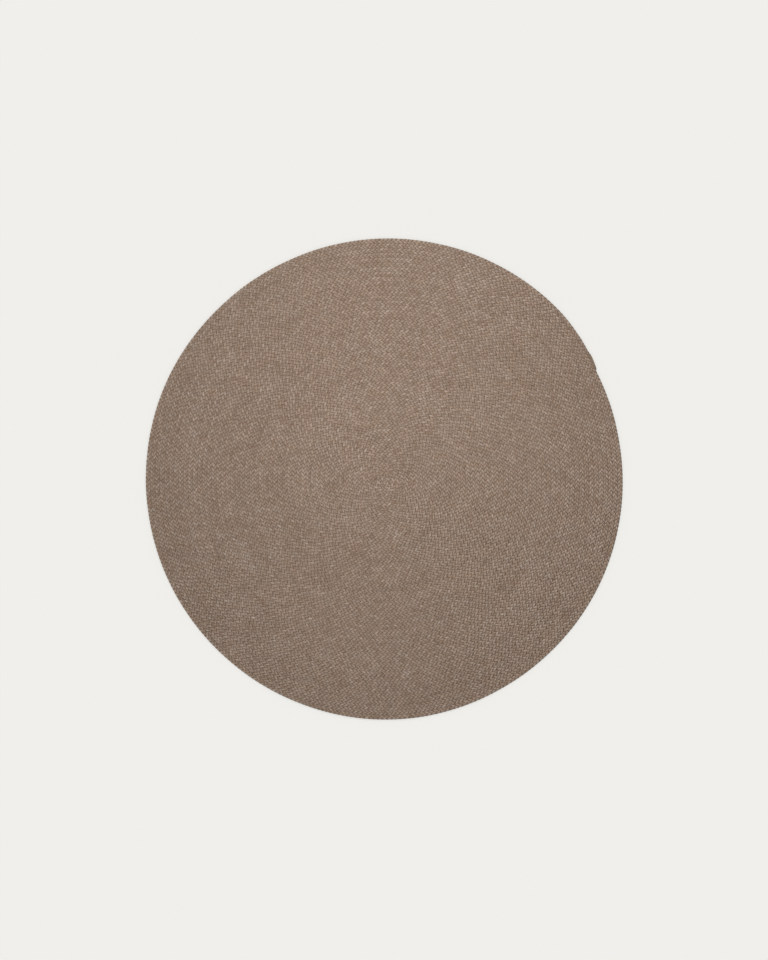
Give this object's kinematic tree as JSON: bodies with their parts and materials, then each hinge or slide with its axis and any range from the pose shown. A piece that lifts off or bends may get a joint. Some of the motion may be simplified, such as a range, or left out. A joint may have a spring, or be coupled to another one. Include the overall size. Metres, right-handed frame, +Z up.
{
  "type": "round braided rug",
  "caption": "Round flat floor rug of one synthetic-fibre braid wound in a spiral and sewn edge to edge, with a tapered end.",
  "frame": {"origin": "on the floor, under the centre of the rug's outline box", "axes": "+Z up out of the upper side, +X to the right and +Y away, as the rug is seen from above with its braid's end at the upper right"},
  "size_m": [1.4916, 1.5052, 0.009],
  "materials": {
    "braid": "matte braided synthetic yarn, heathered taupe"
  },
  "bodies": {
    "root": {"rug": "braid"}
  },
  "joints": []
}
